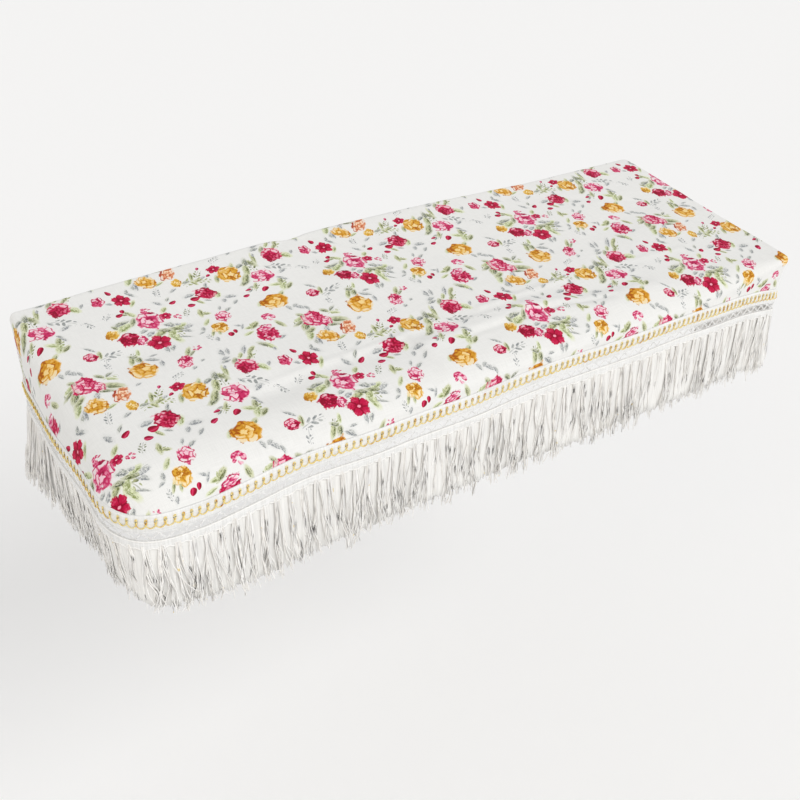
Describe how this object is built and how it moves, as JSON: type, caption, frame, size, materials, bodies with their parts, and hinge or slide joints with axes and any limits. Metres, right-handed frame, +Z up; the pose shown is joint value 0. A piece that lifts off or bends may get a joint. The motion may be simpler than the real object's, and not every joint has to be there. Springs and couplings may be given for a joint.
{
  "type": "keyboard dust cover",
  "caption": "Fitted cloth dust cover for a long musical keyboard: sloping top, short walls, looped braid, open net band and hanging fringe round its lower edge.",
  "frame": {"origin": "under the middle of the cover's top, where it lies on the keyboard", "axes": "+X along the length, +Y to the back, +Z up"},
  "size_m": [1.0469, 0.3884, 0.2557],
  "materials": {
    "printed_cotton": "off-white cotton printed with small crimson, pink and golden flowers",
    "white_tape": "plain white woven tape",
    "gold_thread": "looped gold thread with a slight sheen",
    "white_net": "open white net",
    "rayon_fringe": "silky off-white strands"
  },
  "bodies": {
    "root": {"cover_cloth": "printed_cotton", "trim_tape": "white_tape", "gold_braid": "gold_thread", "net_band": "white_net", "fringe": "rayon_fringe"}
  },
  "joints": []
}
